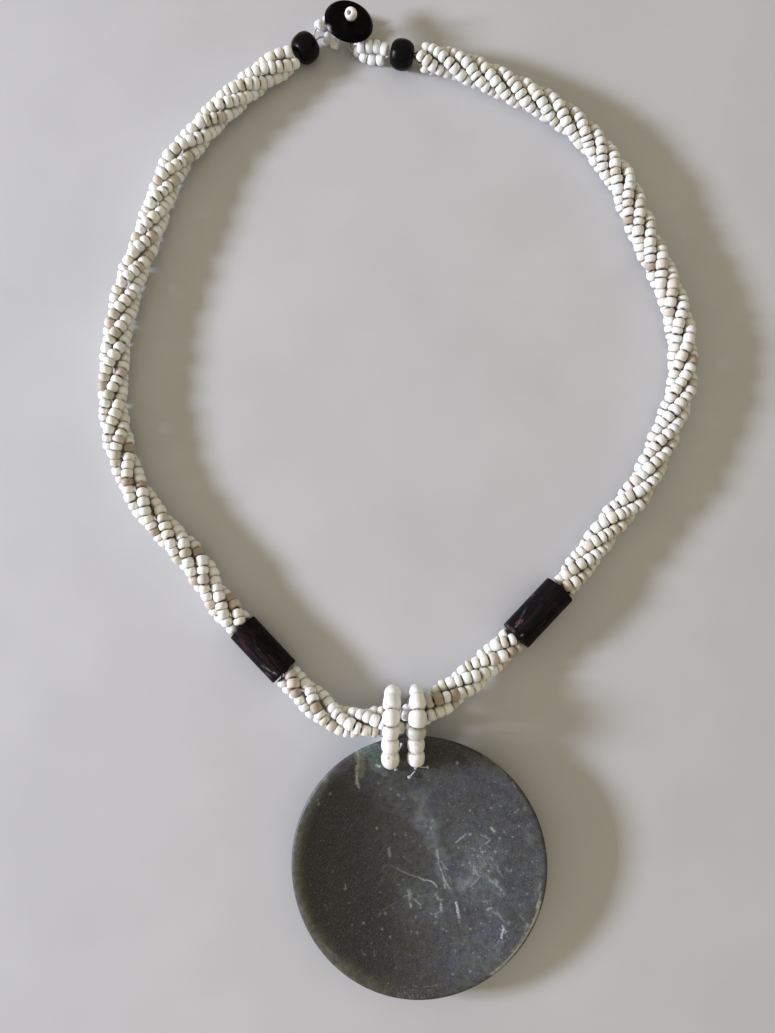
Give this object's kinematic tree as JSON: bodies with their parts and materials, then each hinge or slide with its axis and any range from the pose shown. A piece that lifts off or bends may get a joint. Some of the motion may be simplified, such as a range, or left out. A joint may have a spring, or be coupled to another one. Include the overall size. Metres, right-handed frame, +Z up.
{
  "type": "disc pendant necklace",
  "caption": "Twisted rope of white seed beads with dark wooden beads, a button and loop clasp, and a large dished dark shell disc hung from beaded bail loops.",
  "frame": {"origin": "centre of the underside of the box round the whole necklace as it lies flat on a surface", "axes": "+X to the right of the picture, +Y away from the pendant towards the clasp, +Z up from the surface"},
  "size_m": [0.1531, 0.2509, 0.0169],
  "materials": {
    "seed_bead": "matt opaque off-white with cream, tan and grey beads among them",
    "bail_bead": "opaque white with a soft gloss",
    "dark_wood": "near-black wood, lightly waxed, with fine grain along the bead",
    "polished_wood": "black wood polished to a soft gloss",
    "shell": "dark slate-grey ground shell, satin, with pale scratches and a small green patch",
    "strand_thread": "brown beading thread",
    "nylon_thread": "translucent white nylon monofilament"
  },
  "bodies": {
    "root": {"rope_left": "seed_bead", "rope_front": "seed_bead", "rope_right": "seed_bead", "shell_disc": "shell", "tube_left": "dark_wood", "tube_right": "dark_wood", "rondelle_left": "polished_wood", "rondelle_right": "polished_wood", "core_tube_left": "strand_thread", "core_tube_right": "strand_thread", "core_rondelle_left": "strand_thread", "core_rondelle_right": "strand_thread", "button": "polished_wood", "stop_bead": "bail_bead", "loop_beads": "seed_bead", "loop_thread": "nylon_thread", "stem_upper_beads": "seed_bead", "stem_lower_beads": "seed_bead", "stem_upper_thread": "nylon_thread", "stem_lower_thread": "nylon_thread", "bail_left_thread": "nylon_thread", "bail_right_thread": "nylon_thread", "bail_left_bead_1": "bail_bead", "bail_left_bead_2": "bail_bead", "bail_left_bead_3": "bail_bead", "bail_left_bead_4": "bail_bead", "bail_left_bead_5": "bail_bead", "bail_left_bead_6": "bail_bead", "bail_left_bead_7": "bail_bead", "bail_left_bead_8": "bail_bead", "bail_left_bead_9": "bail_bead", "bail_left_bead_10": "bail_bead", "bail_left_bead_11": "bail_bead", "bail_left_bead_12": "bail_bead", "bail_right_bead_1": "bail_bead", "bail_right_bead_2": "bail_bead", "bail_right_bead_3": "bail_bead", "bail_right_bead_4": "bail_bead", "bail_right_bead_5": "bail_bead", "bail_right_bead_6": "bail_bead", "bail_right_bead_7": "bail_bead", "bail_right_bead_8": "bail_bead", "bail_right_bead_9": "bail_bead", "bail_right_bead_10": "bail_bead", "bail_right_bead_11": "bail_bead", "bail_right_bead_12": "bail_bead", "thread_tail_1": "nylon_thread", "thread_tail_2": "nylon_thread", "thread_tail_3": "nylon_thread", "thread_tail_4": "nylon_thread"}
  },
  "joints": []
}
